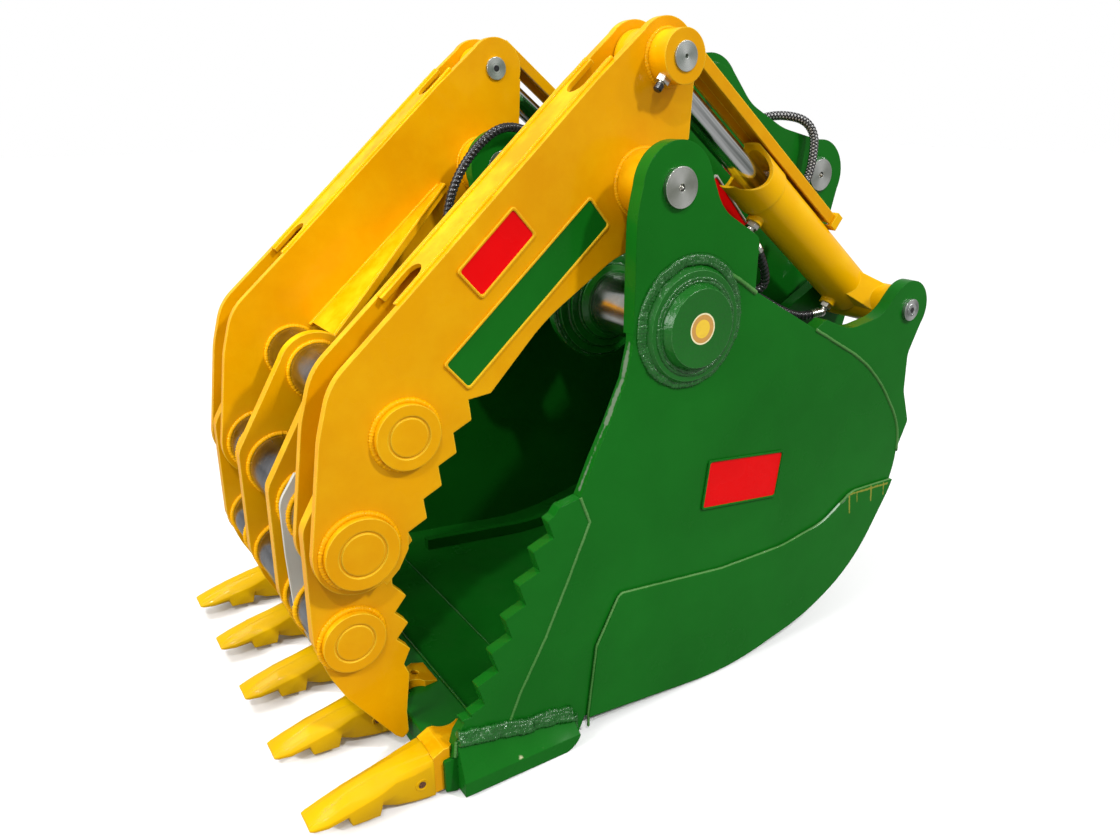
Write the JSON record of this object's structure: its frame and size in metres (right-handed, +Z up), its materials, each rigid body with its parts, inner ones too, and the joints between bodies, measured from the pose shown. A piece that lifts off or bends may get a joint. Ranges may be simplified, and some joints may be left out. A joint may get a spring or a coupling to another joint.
{
  "type": "excavator claw bucket",
  "caption": "Excavator bucket with a serrated hinged claw over its mouth, closed by hydraulic cylinders along the inside of its side plates.",
  "frame": {"origin": "centre of the arm pin bore, midway between the hanger plates", "axes": "+X from the teeth to the back of the bucket, +Y across along the pins, +Z up from the ground"},
  "size_m": [1.997, 1.28, 1.768],
  "materials": {
    "green_paint": "gloss",
    "yellow_paint": "gloss",
    "pale_paint": "semi gloss",
    "pin_steel": "turned",
    "tube_steel": "mill finish",
    "fitting_steel": "zinc plated",
    "chrome": "polished",
    "rubber": "matte"
  },
  "bodies": {
    "bucket": {"base_pins": "pin_steel", "claw_ears": "green_paint", "corner_pads": "green_paint", "cross_shaft": "pin_steel", "cylinder_ears": "green_paint", "floor_ribs": "green_paint", "hanger_bosses": "green_paint", "hanger_plate_far": "green_paint", "hanger_plate_near": "green_paint", "heel_wear_strips": "green_paint", "hose_base_port_far": "rubber", "hose_base_port_near": "rubber", "hose_bulkheads": "fitting_steel", "hose_front": "rubber", "hose_link": "rubber", "hose_rod_port_far": "rubber", "hose_rod_port_near": "rubber", "link_pin": "pin_steel", "lip_plate": "green_paint", "pivot_pins": "pin_steel", "shaft_bosses": "green_paint", "shaft_collars": "green_paint", "side_cutter_far": "green_paint", "side_cutter_near": "green_paint", "side_plate_far": "green_paint", "side_plate_near": "green_paint", "side_wear_plates": "green_paint", "teeth": "yellow_paint", "tooth_adapters": "yellow_paint", "tooth_pins": "pin_steel", "wrapper_shell": "green_paint"},
    "claw": {"arm_plate_near_outer": "yellow_paint", "arm_plate_near_inner": "yellow_paint", "arm_plate_far_inner": "yellow_paint", "arm_plate_far_outer": "yellow_paint", "finger_1": "yellow_paint", "finger_2": "yellow_paint", "finger_3": "yellow_paint", "finger_4": "yellow_paint", "finger_stiffeners": "yellow_paint", "finger_doubler": "pale_paint", "arm_covers": "yellow_paint", "cross_tubes": "tube_steel", "tube_caps": "yellow_paint", "pivot_hubs": "yellow_paint", "rod_pin_bosses": "yellow_paint", "rod_pins": "pin_steel", "lock_bolts": "fitting_steel"},
    "barrel_near": {"barrel_near": "yellow_paint", "gland_near": "fitting_steel", "port_fittings_near": "fitting_steel"},
    "barrel_far": {"barrel_far": "yellow_paint", "gland_far": "fitting_steel", "port_fittings_far": "fitting_steel"},
    "rod_near": {"rod_near": "chrome", "piston_near": "fitting_steel", "rod_guard_near": "yellow_paint"},
    "rod_far": {"rod_far": "chrome", "piston_far": "fitting_steel", "rod_guard_far": "yellow_paint"}
  },
  "joints": [
    {"name": "claw_hinge", "type": "hinge", "parent": "bucket", "child": "claw", "pos_m": [-0.415, 0, -0.202], "axis": [0, 1, 0], "range_deg": [0, 50]},
    {"name": "barrel_near_swing", "type": "hinge", "parent": "bucket", "child": "barrel_near", "pos_m": [0.516, -0.3985, -0.602], "axis": [0, 1, 0], "range_deg": [0, 1.3]},
    {"name": "barrel_far_swing", "type": "hinge", "parent": "bucket", "child": "barrel_far", "pos_m": [0.516, 0.3985, -0.602], "axis": [0, 1, 0], "range_deg": [0, 1.3]},
    {"name": "rod_near_slide", "type": "slide", "parent": "barrel_near", "child": "rod_near", "axis": [-0.7892, 0, 0.6141], "range_m": [-0.24, 0]},
    {"name": "rod_far_slide", "type": "slide", "parent": "barrel_far", "child": "rod_far", "axis": [-0.7892, 0, 0.6141], "range_m": [-0.24, 0]}
  ],
  "couplings": [
    {"joint": "barrel_near_swing", "follows": "claw_hinge", "ratio": 0.0256},
    {"joint": "barrel_far_swing", "follows": "claw_hinge", "ratio": 0.0256},
    {"joint": "rod_near_slide", "follows": "claw_hinge", "m_per_rad": -0.2741},
    {"joint": "rod_far_slide", "follows": "claw_hinge", "m_per_rad": -0.2741}
  ]
}
